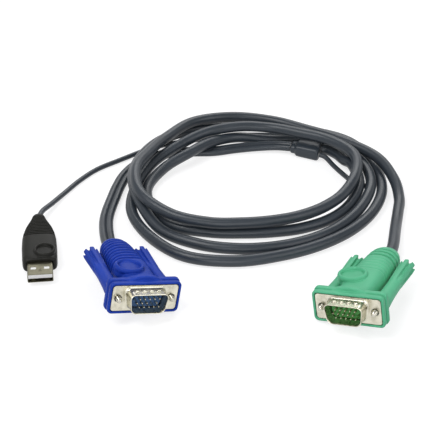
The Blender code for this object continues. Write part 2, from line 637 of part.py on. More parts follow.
def cord(name, points, step):
    """A curve through the points, with filled ends."""
    curve = bpy.data.curves.new(name, "CURVE")
    curve.dimensions = "3D"
    curve.use_fill_caps = True
    curve.twist_mode = "Z_UP"
    path = smooth_path(points, step)
    spline = curve.splines.new("POLY")
    spline.points.add(len(path) - 1)
    for point, (x, y, z) in zip(spline.points, path):
        point.co = (x, y, z, 1.0)
    curve.materials.append(JACKET)
    return curve


def coil_points():
    """The cable's centre through all its turns, in metres."""
    points = [Vector(point) * MM for point in MAIN_HEAD]
    angle = TURN_START_DEG
    for radii, heights in zip(TURN_RADII, TURN_HEIGHTS):
        for radius, height in zip(radii, heights):
            t = math.radians(angle)
            x = COIL_X + radius * MM * math.cos(t)
            y = COIL_Y + radius * MM * math.sin(t)
            points.append(Vector((x, y, height * MM)))
            angle -= TURN_STEP_DEG
    return points + [Vector(point) * MM for point in MAIN_TAIL]


main = cord("main_cable", coil_points(), MAIN_STEP)
main.bevel_depth = MAIN_RADIUS
main.bevel_resolution = MAIN_SIDES // 2 - 2
smooth_look(place(mesh_of(main, "main_cable"), "main_cable", JACKET))

thin = cord("usb_branch", [Vector(point) * MM for point in USB_ROUTE], USB_STEP)
thin.bevel_depth = USB_RADIUS
thin.bevel_resolution = THIN_SIDES // 2 - 2
smooth_look(place(mesh_of(thin, "usb_branch"), "usb_branch", JACKET))

# The twin lead's section: two circles that meet, as one outline.
figure = bpy.data.curves.new("twin_section", "CURVE")
figure.dimensions = "2D"
eight = figure.splines.new("POLY")
waist = math.acos(TWIN_HALF_PITCH / TWIN_RADIUS)
turns = np.linspace(-math.pi + waist, math.pi - waist, TWIN_SIDES)
right = [TWIN_HALF_PITCH + TWIN_RADIUS * np.exp(1j * turn) for turn in turns]
left = [-value for value in right]
outline = right[:-1] + left[:-1]
eight.points.add(len(outline) - 1)
for point, value in zip(eight.points, outline):
    point.co = (value.real, value.imag, 0.0, 1.0)
eight.use_cyclic_u = True
section = bpy.data.objects.new("twin_section", figure)
cutters.objects.link(section)
section.hide_render = True
twin = cord("vga_branch", [Vector(point) * MM for point in VGA_ROUTE], TWIN_STEP)
twin.bevel_mode = "OBJECT"
twin.bevel_object = section
smooth_look(place(mesh_of(twin, "vga_branch"), "vga_branch", JACKET))
bpy.data.objects.remove(section)
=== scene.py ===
import math

import bpy
from mathutils import Euler, Matrix, Vector


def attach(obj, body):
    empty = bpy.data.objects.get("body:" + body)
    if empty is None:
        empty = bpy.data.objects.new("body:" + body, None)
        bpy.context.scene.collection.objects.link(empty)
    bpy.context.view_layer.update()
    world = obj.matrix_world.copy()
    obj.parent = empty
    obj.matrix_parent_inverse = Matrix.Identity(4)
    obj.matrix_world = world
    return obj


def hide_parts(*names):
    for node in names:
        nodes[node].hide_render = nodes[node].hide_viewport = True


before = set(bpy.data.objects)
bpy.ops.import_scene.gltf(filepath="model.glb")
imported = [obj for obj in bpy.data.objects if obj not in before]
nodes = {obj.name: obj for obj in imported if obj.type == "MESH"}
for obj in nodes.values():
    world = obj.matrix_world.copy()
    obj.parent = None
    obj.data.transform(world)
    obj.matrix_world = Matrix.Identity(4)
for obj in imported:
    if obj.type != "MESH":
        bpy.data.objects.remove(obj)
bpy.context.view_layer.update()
scene = bpy.context.scene
scene.view_settings.view_transform = "Standard"


# Camera and studio. The cable lies on a white table and is seen from in front and above, the way
# a small product is photographed, under four large soft lamps. The table stays white to the
# camera and keeps the soft shadow.
camera_data = bpy.data.cameras.new("camera")
camera_data.sensor_width = 36.0
camera_data.lens = 89.36
camera_data.clip_start = 0.01
camera = bpy.data.objects.new("camera", camera_data)
camera.location = (0.0, -0.4672, 0.3090)
camera.rotation_euler = (math.radians(56.52), 0.0, 0.0)
scene.collection.objects.link(camera)
scene.camera = camera


def lamp(name, place, width, depth, watts):
    """A soft rectangular lamp that faces the middle of the table."""
    data = bpy.data.lights.new(name, "AREA")
    data.shape = "RECTANGLE"
    data.size = width
    data.size_y = depth
    data.energy = watts
    made = bpy.data.objects.new(name, data)
    made.location = place
    made.rotation_euler = (-Vector(place)).to_track_quat("-Z", "Y").to_euler()
    scene.collection.objects.link(made)


lamp("key", place=(-0.45, -0.25, 0.90), width=0.50, depth=0.50, watts=4.8)
lamp("fill", place=(0.60, -0.50, 0.60), width=0.60, depth=0.60, watts=2.2)
lamp("front", place=(-0.10, -0.90, 0.32), width=0.60, depth=0.40, watts=2.0)
lamp("rear", place=(0.10, 0.80, 0.70), width=0.80, depth=0.35, watts=3.6)


def white_to_camera(tree, lit, strength):
    """Adds to what a shader gives: a white that only the camera, gloss and glass see."""
    path = tree.nodes.new("ShaderNodeLightPath")
    seen = tree.nodes.new("ShaderNodeMath")
    seen.operation = "MAXIMUM"
    tree.links.new(path.outputs["Is Camera Ray"], seen.inputs[0])
    tree.links.new(path.outputs["Is Glossy Ray"], seen.inputs[1])
    also = tree.nodes.new("ShaderNodeMath")
    also.operation = "MAXIMUM"
    tree.links.new(seen.outputs[0], also.inputs[0])
    tree.links.new(path.outputs["Is Transmission Ray"], also.inputs[1])
    level = tree.nodes.new("ShaderNodeMath")
    level.operation = "MULTIPLY"
    tree.links.new(also.outputs[0], level.inputs[0])
    if isinstance(strength, float):
        level.inputs[1].default_value = strength
    else:
        tree.links.new(strength, level.inputs[1])
    glow = tree.nodes.new("ShaderNodeEmission")
    glow.inputs["Color"].default_value = (1.0, 1.0, 1.0, 1.0)
    tree.links.new(level.outputs[0], glow.inputs["Strength"])
    both = tree.nodes.new("ShaderNodeAddShader")
    tree.links.new(lit.outputs[0], both.inputs[0])
    tree.links.new(glow.outputs[0], both.inputs[1])
    return both


ambient_strength = 0.26
glow_from, glow_to = 0.15, 0.60
glow_low, glow_overhead = 0.74, 0.05
world = bpy.data.worlds.new("studio")
world.use_nodes = True
air = world.node_tree
ambient = air.nodes["Background"]
ambient.inputs["Color"].default_value = (1.0, 1.0, 1.0, 1.0)
ambient.inputs["Strength"].default_value = ambient_strength
toward = air.nodes.new("ShaderNodeTexCoord")
split = air.nodes.new("ShaderNodeSeparateXYZ")
air.links.new(toward.outputs["Generated"], split.inputs[0])
fade = air.nodes.new("ShaderNodeMapRange")
fade.inputs["From Min"].default_value = glow_from
fade.inputs["From Max"].default_value = glow_to
fade.inputs["To Min"].default_value = glow_low
fade.inputs["To Max"].default_value = glow_overhead
air.links.new(split.outputs["Z"], fade.inputs["Value"])
air_glow = white_to_camera(air, ambient, fade.outputs["Result"])
air.links.new(air_glow.outputs[0], air.nodes["World Output"].inputs["Surface"])
scene.world = world

table_glow = 0.75
bpy.ops.mesh.primitive_plane_add(size=6.0, location=(0.0, 0.0, 0.0))
table = bpy.context.object
table.name = "table"
paper = bpy.data.materials.new("white_paper")
paper.use_nodes = True
sheet_tree = paper.node_tree
card = sheet_tree.nodes["Principled BSDF"]
card.inputs["Base Color"].default_value = (0.36, 0.36, 0.37, 1.0)
card.inputs["Roughness"].default_value = 0.9
card.inputs["Specular IOR Level"].default_value = 0.1
paper_glow = white_to_camera(sheet_tree, card, table_glow)
sheet_tree.links.new(paper_glow.outputs[0], sheet_tree.nodes["Material Output"].inputs["Surface"])
table.data.materials.append(paper)


# Jackets of the three cords: soft dark grey PVC, extruded over the wires, with a faint
# unevenness in its colour and gloss and a fine grain on its surface.
def uneven(name, color, dark, ramp, mottle, mottle_detail, roughness, grain, grain_detail, depth):
    """A finish whose colour, gloss and surface vary softly over the piece."""
    made = bpy.data.materials.new(name)
    made.use_nodes = True
    tree = made.node_tree
    shader = tree.nodes["Principled BSDF"]
    where = tree.nodes.new("ShaderNodeTexCoord")
    cloud = tree.nodes.new("ShaderNodeTexNoise")
    cloud.inputs["Scale"].default_value = mottle
    cloud.inputs["Detail"].default_value = mottle_detail
    tree.links.new(where.outputs["Object"], cloud.inputs["Vector"])
    tint = tree.nodes.new("ShaderNodeValToRGB")
    for stop, position, shade in zip(tint.color_ramp.elements, ramp, (dark, color)):
        stop.position = position
        stop.color = (*shade, 1.0)
    tree.links.new(cloud.outputs["Fac"], tint.inputs["Fac"])
    tree.links.new(tint.outputs["Color"], shader.inputs["Base Color"])
    dull = tree.nodes.new("ShaderNodeMapRange")
    dull.inputs["To Min"].default_value = roughness[0]
    dull.inputs["To Max"].default_value = roughness[1]
    tree.links.new(cloud.outputs["Fac"], dull.inputs["Value"])
    tree.links.new(dull.outputs["Result"], shader.inputs["Roughness"])
    fine = tree.nodes.new("ShaderNodeTexNoise")
    fine.inputs["Scale"].default_value = grain
    fine.inputs["Detail"].default_value = grain_detail
    tree.links.new(where.outputs["Object"], fine.inputs["Vector"])
    relief = tree.nodes.new("ShaderNodeBump")
    relief.inputs["Strength"].default_value = 1.0
    relief.inputs["Distance"].default_value = depth
    tree.links.new(fine.outputs["Fac"], relief.inputs["Height"])
    tree.links.new(relief.outputs["Normal"], shader.inputs["Normal"])
    return made


def moulded(name, color, dark, roughness, grain, grain_depth, gloss):
    """Moulded or extruded plastic."""
    made = uneven(name, color, dark, ramp=(0.3, 0.7), mottle=60.0, mottle_detail=4.0,
                  roughness=(roughness - 0.05, roughness + 0.06), grain=grain, grain_detail=3.0,
                  depth=grain_depth)
    made.node_tree.nodes["Principled BSDF"].inputs["Specular IOR Level"].default_value = gloss
    return made


jacket = moulded("cord_jacket", color=(0.032, 0.042, 0.055), dark=(0.024, 0.032, 0.042),
                 roughness=0.36, grain=900.0, grain_depth=0.00003, gloss=0.5)


# Long round cable: one jacket, 5.8 mm thick, from the splitter through four loose turns to the
# green plug. The turns lie on the table and over each other, and nothing ties them.
def in_metres(points):
    return [Vector(point) / 1000.0 for point in points]


def cord_curve(name, points, radius):
    """A Bezier curve through the points, each handle a sixth of the way between its neighbours."""
    data = bpy.data.curves.new(name, "CURVE")
    data.dimensions = "3D"
    data.bevel_depth = radius
    data.bevel_resolution = 8
    data.resolution_u = 10
    data.use_fill_caps = True
    line = data.splines.new("BEZIER")
    last = len(points) - 1
    line.bezier_points.add(last)
    for index, knot in enumerate(line.bezier_points):
        here = Vector(points[index])
        before = Vector(points[index - 1]) if index else 2 * here - Vector(points[1])
        after = Vector(points[index + 1]) if index < last else 2 * here - Vector(points[-2])
        knot.co = here
        knot.handle_left = here - (after - before) / 6
        knot.handle_right = here + (after - before) / 6
    made = bpy.data.objects.new(name, data)
    scene.collection.objects.link(made)
    return made


def dress(piece, finish, node, body="cable"):
    """Gives a piece its finish, and puts it in the place of its CAD node on its body."""
    piece.data.materials.clear()
    piece.data.materials.append(finish)
    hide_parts(node)
    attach(piece, body)


coil_middle = (19.0, 26.0)
first_turn_deg = 20.0
turn_step_deg = 20.0
turn_radii = (
    (56.5, 54.8, 51.0, 47.5, 44.0, 42.0, 43.0, 48.0, 55.8,
     57.5, 57.5, 52.5, 47.0, 48.5, 51.8, 53.5, 60.5, 64.0),
    (62.8, 61.0, 57.4, 55.2, 54.6, 55.0, 57.0, 60.0, 63.0,
     63.5, 65.0, 67.0, 69.0, 70.0, 69.0, 68.5, 70.5, 72.0),
    (69.6, 67.0, 63.8, 61.5, 60.8, 62.5, 67.5, 72.0, 70.5,
     68.3, 63.9, 60.0, 56.0, 54.5, 52.0, 51.5, 50.5, 54.0),
    (57.0, 52.5, 47.5, 44.0, 42.0, 41.5, 43.5, 49.0, 57.0,
     63.5, 63.0, 60.5, 63.0, 68.5, 68.4, 64.5, 61.0, 60.5),
)
turn_heights = (
    (5.7, 5.9, 3.7, 3.3, 3.1, 3.1, 3.1, 3.1, 3.1, 3.1, 3.2, 4.8, 7.2, 7.3, 5.4, 3.1, 3.1, 4.6),
    (5.7, 5.7, 4.3, 3.2, 3.1, 3.1, 3.1, 3.1, 3.5, 7.6, 9.3, 7.7, 6.9, 4.8, 3.1, 3.1, 3.5, 4.5),
    (3.1, 3.1, 3.1, 3.1, 3.1, 3.1, 3.1, 3.1, 3.1,
     3.1, 3.1, 5.6, 8.2, 10.6, 12.3, 11.9, 12.4, 12.8),
    (12.5, 12.1, 10.0, 9.5, 9.4, 9.4, 9.4, 9.4, 10.7,
     13.9, 15.6, 14.1, 11.9, 11.0, 9.9, 9.4, 9.4, 11.3),
)
out_of_splitter = ((57.4, 66.4, 3.9), (60.7, 65.1, 3.9), (65.0, 60.0, 4.1), (68.2, 53.0, 4.6))
into_green_plug = (
    (84.3, 47.0, 10.6), (92.2, 30.2, 7.0), (93.6, 15.0, 3.8), (91.4, 3.0, 3.1),
    (89.2, -7.0, 3.1), (87.2, -16.5, 3.9), (85.6, -24.6, 4.9), (83.8, -32.4, 5.5),
    (81.8, -38.0, 6.0), (80.27, -41.15, 6.31),
)
round_route = list(out_of_splitter)
angle = first_turn_deg
for radii, heights in zip(turn_radii, turn_heights):
    for radius, height in zip(radii, heights):
        x = coil_middle[0] + radius * math.cos(math.radians(angle))
        y = coil_middle[1] + radius * math.sin(math.radians(angle))
        round_route.append((x, y, height))
        angle -= turn_step_deg
round_points = in_metres(round_route + list(into_green_plug))
round_cord = cord_curve("round_cord", round_points, radius=0.0029)
dress(round_cord, jacket, "main_cable")


# Thin lead to the small flat plug: the same PVC over four wires, limp and 2.7 mm thick. It leaves
# the splitter beside the round cable, turns back under the coil and runs behind it to the left.
thin_points = in_metres((
    (55.6, 60.1, 3.8), (58.8, 58.2, 3.1), (62.5, 51.8, 1.8), (66.0, 45.0, 1.5),
    (69.3, 38.6, 1.5), (71.0, 34.6, 1.5), (73.0, 31.2, 1.5), (75.8, 30.2, 1.5),
    (78.6, 31.4, 1.5), (80.3, 34.8, 1.5), (80.6, 40.0, 1.5), (80.0, 46.5, 1.5),
    (78.6, 53.4, 1.5), (75.6, 61.3, 1.5), (70.9, 69.5, 1.5), (63.9, 75.9, 1.5),
    (54.7, 81.0, 1.5), (43.6, 84.0, 1.5), (29.7, 86.6, 1.5), (13.7, 86.8, 1.5),
    (0.0, 84.8, 1.5), (-15.0, 80.7, 1.5), (-28.0, 76.8, 1.5), (-41.0, 70.0, 1.5),
    (-55.7, 58.2, 1.5), (-67.3, 48.2, 1.5), (-75.6, 36.5, 1.5), (-82.0, 24.0, 1.7),
    (-87.2, 11.5, 2.9), (-90.8, 2.4, 4.2), (-91.95, -4.45, 4.5),
))
thin_cord = cord_curve("thin_cord", thin_points, radius=0.00135)
dress(thin_cord, jacket, "usb_branch")


# Twin lead to the blue plug: two jackets side by side, extruded as one with a groove along the
# middle, 7.2 mm over both. It leaves the splitter's collar and passes under the coil's left side.
twin_points = in_metres((
    (39.9, 69.2, 3.9), (31.5, 71.2, 3.4), (20.0, 71.2, 2.8), (8.0, 69.7, 2.3), (-3.5, 67.0, 2.1),
    (-15.0, 66.5, 2.1), (-26.0, 65.6, 2.1), (-36.5, 60.5, 2.1), (-45.5, 52.0, 2.1),
    (-51.2, 41.0, 2.1), (-54.2, 29.0, 2.1), (-56.0, 17.0, 2.1), (-57.4, 6.0, 2.1),
    (-57.8, -3.0, 2.5), (-57.2, -11.5, 3.4), (-56.2, -19.0, 4.4), (-54.9, -26.0, 5.2),
    (-53.7, -30.0, 5.8), (-52.44, -33.15, 6.16),
))
jacket_radius, jacket_from_middle = 0.0019, 0.0017
outline_stretch = 1.705  # brings each half of the circle round to the groove
bpy.ops.object.select_all(action="DESELECT")
bpy.ops.mesh.primitive_circle_add(vertices=32, radius=jacket_radius, fill_type="NOTHING")
profile = bpy.context.object
profile.name = "twin_profile"
for vertex in profile.data.vertices:
    side = 1.0 if vertex.co.x >= 0.0 else -1.0
    turn = math.atan2(vertex.co.y, side * vertex.co.x) * outline_stretch
    vertex.co.x = side * (jacket_from_middle + jacket_radius * math.cos(turn))
    vertex.co.y = jacket_radius * math.sin(turn)
bpy.ops.object.convert(target="CURVE")
twin_cord = cord_curve("twin_cord", twin_points, radius=0.0)
twin_cord.data.twist_mode = "Z_UP"
twin_cord.data.bevel_mode = "OBJECT"
twin_cord.data.bevel_object = profile


def pick(target):
    """Selects one object alone and makes it the active one."""
    bpy.ops.object.select_all(action="DESELECT")
    bpy.context.view_layer.objects.active = target
    target.select_set(True)


pick(twin_cord)
bpy.ops.object.convert(target="MESH")
twin_cord = bpy.context.object
bpy.data.objects.remove(profile)
bpy.ops.object.shade_smooth_by_angle(angle=math.radians(60))
dress(twin_cord, jacket, "vga_branch")


# Overmoulds of the two D plugs: soft PVC moulded in one shot round the crimped cable, with a
# stepped flange round the metal plate, a raised oval finger ring, and a ribbed tail that lets
# the cable bend. Plug axes: X across, Y back along the plug, Z up, the plate's face at Y = 0.
def plug_matrix(place, yaw, pitch, roll):
    turn = Euler((math.radians(pitch), math.radians(roll), math.radians(yaw)), "YXZ")
    return Matrix.Translation(Vector(place)) @ turn.to_matrix().to_4x4()


def apply_modifier(target, kind, **settings):
    modifier = target.modifiers.new(kind.lower(), kind)
    for key, value in settings.items():
        setattr(modifier, key, value)
    pick(target)
    bpy.ops.object.modifier_apply(modifier=modifier.name)


def lay_along(target, along):
    """Turns what was drawn flat and raised along Z so that it runs along the plug's Y axis."""
    target.data.transform(Matrix.Rotation(math.pi / 2, 4, "X"))
    target.data.transform(Matrix.Translation((0.0, along, 0.0)))


def slab(name, width, height, corner, front, rear, edge):
    """A plate with round corners and softened rims, upright across the plug."""
    bpy.ops.object.select_all(action="DESELECT")
    bpy.ops.mesh.primitive_plane_add(size=1.0)
    made = bpy.context.object
    made.name = name
    bpy.ops.object.mode_set(mode="EDIT")
    bpy.ops.mesh.select_all(action="SELECT")
    bpy.ops.transform.resize(value=(width, height, 1.0))
    bpy.ops.mesh.bevel(offset=corner, segments=8, affect="VERTICES")
    bpy.ops.mesh.select_all(action="SELECT")
    bpy.ops.mesh.extrude_region_move(TRANSFORM_OT_translate={"value": (0.0, 0.0, rear - front)})
    bpy.ops.mesh.select_all(action="SELECT")
    bpy.ops.mesh.normals_make_consistent(inside=False)
    bpy.ops.object.mode_set(mode="OBJECT")
    if edge:
        apply_modifier(made, "BEVEL", width=edge, segments=3, limit_method="ANGLE",
                       angle_limit=math.radians(60))
    lay_along(made, rear)
    return made


def stack(name, stations, sides):
    """Rings drawn out along Y: place, width, height, squareness (2 for an ellipse) and rise."""
    bpy.ops.object.select_all(action="DESELECT")
    bpy.ops.mesh.primitive_circle_add(vertices=sides, radius=0.5, fill_type="NGON")
    made = bpy.context.object
    made.name = name
    along, width, height = stations[0][:3]
    bpy.ops.object.mode_set(mode="EDIT")
    bpy.ops.mesh.select_all(action="SELECT")
    bpy.ops.transform.resize(value=(width, height, 1.0))
    for further, wide, high, _, _ in stations[1:]:
        bpy.ops.mesh.extrude_region_move(
            TRANSFORM_OT_translate={"value": (0.0, 0.0, further - along)})
        bpy.ops.transform.resize(value=(wide / width, high / height, 1.0))
        along, width, height = further, wide, high
    bpy.ops.mesh.select_all(action="SELECT")
    bpy.ops.mesh.normals_make_consistent(inside=False)
    bpy.ops.object.mode_set(mode="OBJECT")
    first = stations[0][0]
    rings = [(station[0] - first, *station[1:]) for station in stations]
    for vertex in made.data.vertices:
        _, width, height, square, rise = min(rings, key=lambda ring: abs(ring[0] - vertex.co.z))
        across, up = 2.0 * vertex.co.x / width, 2.0 * vertex.co.y / height
        vertex.co.x = math.copysign(abs(across) ** (2.0 / square), across) * width / 2.0
        vertex.co.y = rise + math.copysign(abs(up) ** (2.0 / square), up) * height / 2.0
    made.data.transform(Matrix.Scale(-1.0, 4, (0.0, 0.0, 1.0)))
    made.data.flip_normals()
    lay_along(made, first)
    return made


def between(sections, along):
    """The width, height, squareness and rise at a place between two of the sections."""
    for low, high in zip(sections, sections[1:]):
        if along <= high[0]:
            share = max(0.0, (along - low[0]) / (high[0] - low[0]))
            return [a + (b - a) * share for a, b in zip(low[1:], high[1:])]
    return list(sections[-1][1:])


def ribbed(sections, ribs, half, depth, lines=()):
    """The sections with a steep, flat-bottomed groove at each rib and a fine one at each line."""
    step, steepness = 0.0008, 2.2
    line_half, line_depth = 0.0003, 0.00024
    first, last = sections[0][0], sections[-1][0]
    count = int(round((last - first) / step))
    places = [first + (last - first) * i / count for i in range(count + 1)]
    if ribs:
        places = [p for p in places if not ribs[0] - half * 1.3 < p < ribs[-1] + half * 1.3]
        for rib in ribs:
            places += [rib + half * share
                       for share in (-1.2, -0.9, -0.6, -0.3, 0.0, 0.3, 0.6, 0.9, 1.2)]
    for line in lines:
        places += [line + shift for shift in (-0.0004, -0.0002, 0.0, 0.0002, 0.0004)]
    stations = []
    for place in sorted(places):
        width, height, square, rise = between(sections, place)
        near = min((abs(place - rib) for rib in ribs), default=1.0)
        groove = depth * min(1.0, steepness * (1.0 - near / half)) if near < half else 0.0
        if any(abs(place - line) < line_half for line in lines):
            groove += line_depth
        stations.append((place, width - 2 * groove, height - 2 * groove, square, rise))
    return stations


def oval_ring(name, width, depth, rim, base, top, middle):
    """A raised oval ring on top of the plug, round in section."""
    ring_radius, tube_radius = 0.5, 0.08
    bpy.ops.object.select_all(action="DESELECT")
    bpy.ops.mesh.primitive_torus_add(major_segments=48, minor_segments=12,
                                     major_radius=ring_radius, minor_radius=tube_radius)
    made = bpy.context.object
    made.name = name
    for vertex in made.data.vertices:
        out = math.hypot(vertex.co.x, vertex.co.y)
        tube = (out - ring_radius) / tube_radius
        x, y = vertex.co.x / out, vertex.co.y / out
        vertex.co.x = x * ((width - rim) / 2.0 + tube * rim / 2.0) + middle[0]
        vertex.co.y = y * ((depth - rim) / 2.0 + tube * rim / 2.0) + middle[1]
        vertex.co.z = base + (vertex.co.z / tube_radius + 1.0) / 2.0 * (top - base)
    return made


def mound(name, width, depth, base, top, middle):
    """A low dome."""
    bpy.ops.object.select_all(action="DESELECT")
    bpy.ops.mesh.primitive_uv_sphere_add(segments=32, ring_count=16, radius=0.5)
    made = bpy.context.object
    made.name = name
    for vertex in made.data.vertices:
        vertex.co.x = vertex.co.x * width + middle[0]
        vertex.co.y = vertex.co.y * depth + middle[1]
        vertex.co.z = base + (vertex.co.z + 0.5) * (top - base)
    return made


def merged(name, parts):
    bpy.ops.object.select_all(action="DESELECT")
    for part in parts:
        part.select_set(True)
    bpy.context.view_layer.objects.active = parts[0]
    bpy.ops.object.join()
    parts[0].name = name
    return parts[0]


def cut(parts, tools):
    for tool in tools:
        for part in parts:
            apply_modifier(part, "BOOLEAN", operation="DIFFERENCE", solver="EXACT", object=tool)
        bpy.data.objects.remove(tool)


def grown_together(whole, voxel, passes):
    """The joined parts as one skin with small fillets, as they come from one mould."""
    apply_modifier(whole, "REMESH", mode="VOXEL", voxel_size=voxel, use_smooth_shade=True)
    apply_modifier(whole, "SMOOTH", factor=0.5, iterations=passes)


def hole_rod(name, radius, front, rear, x, sides):
    bpy.ops.object.select_all(action="DESELECT")
    bpy.ops.mesh.primitive_cylinder_add(vertices=sides, radius=radius, depth=rear - front)
    made = bpy.context.object
    made.name = name
    lay_along(made, (front + rear) / 2.0)
    made.data.transform(Matrix.Translation((x, 0.0, 0.0)))
    return made


blue_at = plug_matrix((-0.0335, -0.0805, 0.0117), yaw=21.8, pitch=-6.2, roll=13.1)
green_at = plug_matrix((0.0564, -0.0880, 0.0111), yaw=-27.0, pitch=-5.2, roll=-11.5)
screw_from_middle = 0.012495
body_sections = (
    (0.0040, 0.0160, 0.0130, 4.0, 0.0), (0.0160, 0.0164, 0.0138, 4.0, 0.0),
    (0.0260, 0.0166, 0.0144, 3.2, 0.0002), (0.0330, 0.0164, 0.0142, 2.6, 0.0004),
    (0.0400, 0.0160, 0.0138, 2.3, 0.0005),
)
blue_tail = (
    (0.0440, 0.0156, 0.0130, 2.2, 0.0005), (0.0475, 0.0144, 0.0120, 2.2, 0.0003),
    (0.0495, 0.0130, 0.0110, 2.2, 0.0001), (0.0510, 0.0112, 0.0098, 2.2, 0.0),
)
green_tail = (
    (0.0440, 0.0158, 0.0132, 2.2, 0.0005), (0.0475, 0.0152, 0.0126, 2.2, 0.0004),
    (0.0500, 0.0142, 0.0118, 2.2, 0.0002), (0.0525, 0.0122, 0.0104, 2.2, 0.0),
)
arch_rings = (
    (0.0022, 0.0232, 0.0178, 2.0, 0.0), (0.0026, 0.0246, 0.0190, 2.0, 0.0),
    (0.0049, 0.0246, 0.0190, 2.0, 0.0), (0.0055, 0.0232, 0.0180, 2.0, 0.0),
)


def d_overmould(color, at, stations, ring_at, dome_top, finish):
    """Flange, arch, ribbed body and tail, and finger ring of one plug."""
    tail = stack(color + "_tail", stations, 64)
    rim = slab("rim", width=0.0336, height=0.0152, corner=0.0022, front=-0.0003, rear=0.0022,
               edge=0.0005)
    step = slab("step", width=0.0320, height=0.0136, corner=0.0018, front=0.0016, rear=0.0036,
                edge=0.0)
    back = slab("back", width=0.0342, height=0.0156, corner=0.0022, front=0.0030, rear=0.0056,
                edge=0.0006)
    arch = stack("arch", arch_rings, 64)
    window = slab("window", width=0.0314, height=0.0131, corner=0.0014, front=-0.0020,
                  rear=0.0011, edge=0.0)
    cut([rim], [window])
    cut([rim, step, back, arch],
        [hole_rod("passage", radius=0.00182, front=-0.001, rear=0.0066,
                  x=side * screw_from_middle, sides=24) for side in (-1, 1)])
    ring = oval_ring("ring", width=0.0142, depth=0.0128, rim=0.0020, base=0.0056, top=0.0086,
                     middle=ring_at)
    bpy.ops.object.select_all(action="DESELECT")
    bpy.ops.mesh.primitive_cylinder_add(vertices=64, radius=0.5, depth=1.0)
    boss = bpy.context.object
    boss.data.transform(Matrix.Diagonal((0.0134, 0.0120, 0.0036, 1.0)))
    boss.data.transform(Matrix.Translation((ring_at[0], ring_at[1], 0.0051)))
    parts = [tail, rim, step, back, arch, ring, boss]
    if dome_top:
        parts.append(mound("dome", width=0.0086, depth=0.0114, base=0.0056, top=dome_top,
                           middle=ring_at))
    whole = merged(color + "_overmould", parts)
    grown_together(whole, voxel=0.00025, passes=2)
    whole.data.transform(at)
    dress(whole, finish, color + "_housing")


blue_plastic = moulded("blue_plastic", color=(0.011, 0.052, 0.43), dark=(0.008, 0.041, 0.35),
                       roughness=0.48, grain=1500.0, grain_depth=0.00002, gloss=0.20)
green_plastic = moulded("green_plastic", color=(0.122, 0.53, 0.30), dark=(0.100, 0.47, 0.262),
                        roughness=0.48, grain=1500.0, grain_depth=0.00002, gloss=0.22)
blue_ribs = [0.0255 + 0.0027 * i for i in range(9)]
green_ribs = [0.0408, 0.0442, 0.0476]
green_lines = [0.0265 + 0.0026 * i for i in range(5)]
blue_stations = ribbed(body_sections + blue_tail, blue_ribs, half=0.0008, depth=0.0013)
green_stations = ribbed(body_sections + green_tail, green_ribs, half=0.0008, depth=0.0021,
                        lines=green_lines)
d_overmould("blue", blue_at, blue_stations, (-0.0031, 0.0166), 0.0080, blue_plastic)
d_overmould("green", green_at, green_stations, (-0.0042, 0.0186), 0.0, green_plastic)


# Grips of the thumbscrews: the plug's own PVC, moulded on a long steel screw. Each is slim beside
# the body and opens into a crown of six teeth at the back, where the fingers turn it.
grip_profile = (
    (0.0060, 0.0033), (0.0062, 0.0036), (0.0068, 0.0039), (0.0100, 0.0038), (0.0140, 0.0035),
    (0.0190, 0.0033), (0.0225, 0.0032), (0.0250, 0.0032), (0.0275, 0.0033), (0.0300, 0.0034),
    (0.0330, 0.0035), (0.0360, 0.0036), (0.0390, 0.0037), (0.0420, 0.0038), (0.0440, 0.0038),
    (0.0447, 0.0037),
)
teeth = 6
flutes_from, flutes_run, flute_share = 0.0240, 0.0100, 0.30
crown_from, tooth_drop = 0.0438, 0.0012
hollow_wall, hollow_depth = 0.0007, 0.0014


def grip(name, x, at):
    rings = [(along, 2 * radius, 2 * radius, 2.0, 0.0) for along, radius in grip_profile]
    made = stack(name, rings, 72)
    for vertex in made.data.vertices:
        turn = math.atan2(vertex.co.z, vertex.co.x)
        flute = max(0.0, math.cos(teeth * turn)) ** 0.7
        ramp = min(1.0, max(0.0, (vertex.co.y - flutes_from) / flutes_run))
        shrink = 1.0 - flute_share * flute * ramp * ramp * (3.0 - 2.0 * ramp)
        vertex.co.x *= shrink
        vertex.co.z *= shrink
        if vertex.co.y > crown_from:
            vertex.co.y -= tooth_drop * flute
    # the hollow at the grip's end
    pick(made)
    end_face = max(made.data.polygons, key=lambda face: face.center.y).index
    bpy.ops.object.mode_set(mode="EDIT")
    bpy.ops.mesh.select_all(action="DESELECT")
    bpy.ops.object.mode_set(mode="OBJECT")
    made.data.polygons[end_face].select = True
    bpy.ops.object.mode_set(mode="EDIT")
    bpy.ops.mesh.select_mode(type="FACE")
    bpy.ops.mesh.inset(thickness=hollow_wall)
    bpy.ops.mesh.extrude_region_move(
        TRANSFORM_OT_translate={"value": (0.0, -hollow_depth, 0.0)})
    bpy.ops.transform.resize(value=(0.8, 1.0, 0.8))
    bpy.ops.mesh.select_mode(type="VERT")
    bpy.ops.object.mode_set(mode="OBJECT")
    bpy.ops.object.shade_smooth_by_angle(angle=math.radians(50))
    made.data.transform(at @ Matrix.Translation((x, 0.0, 0.0)))
    return made


for color, at, finish in (("blue", blue_at, blue_plastic), ("green", green_at, green_plastic)):
    for side, sign in (("l", -1), ("r", 1)):
        piece = grip(f"{color}_thumb_grip_{side}", sign * screw_from_middle, at)
        dress(piece, finish, f"{color}_grip_{side}", f"{color}_thumbscrew_{side}")


# D shells: one piece of nickel-plated sheet steel each, drawn over the insulator and flared into
# the plate round it, with four raised dimples above and four below that grip the mating plug.
def plated(name, color, dark, roughness, relief_depth):
    """Plated metal."""
    made = uneven(name, color, dark, ramp=(0.35, 0.65), mottle=320.0, mottle_detail=3.0,
                  roughness=(roughness - 0.08, roughness + 0.10), grain=700.0, grain_detail=2.0,
                  depth=relief_depth)
    made.node_tree.nodes["Principled BSDF"].inputs["Metallic"].default_value = 1.0
    return made


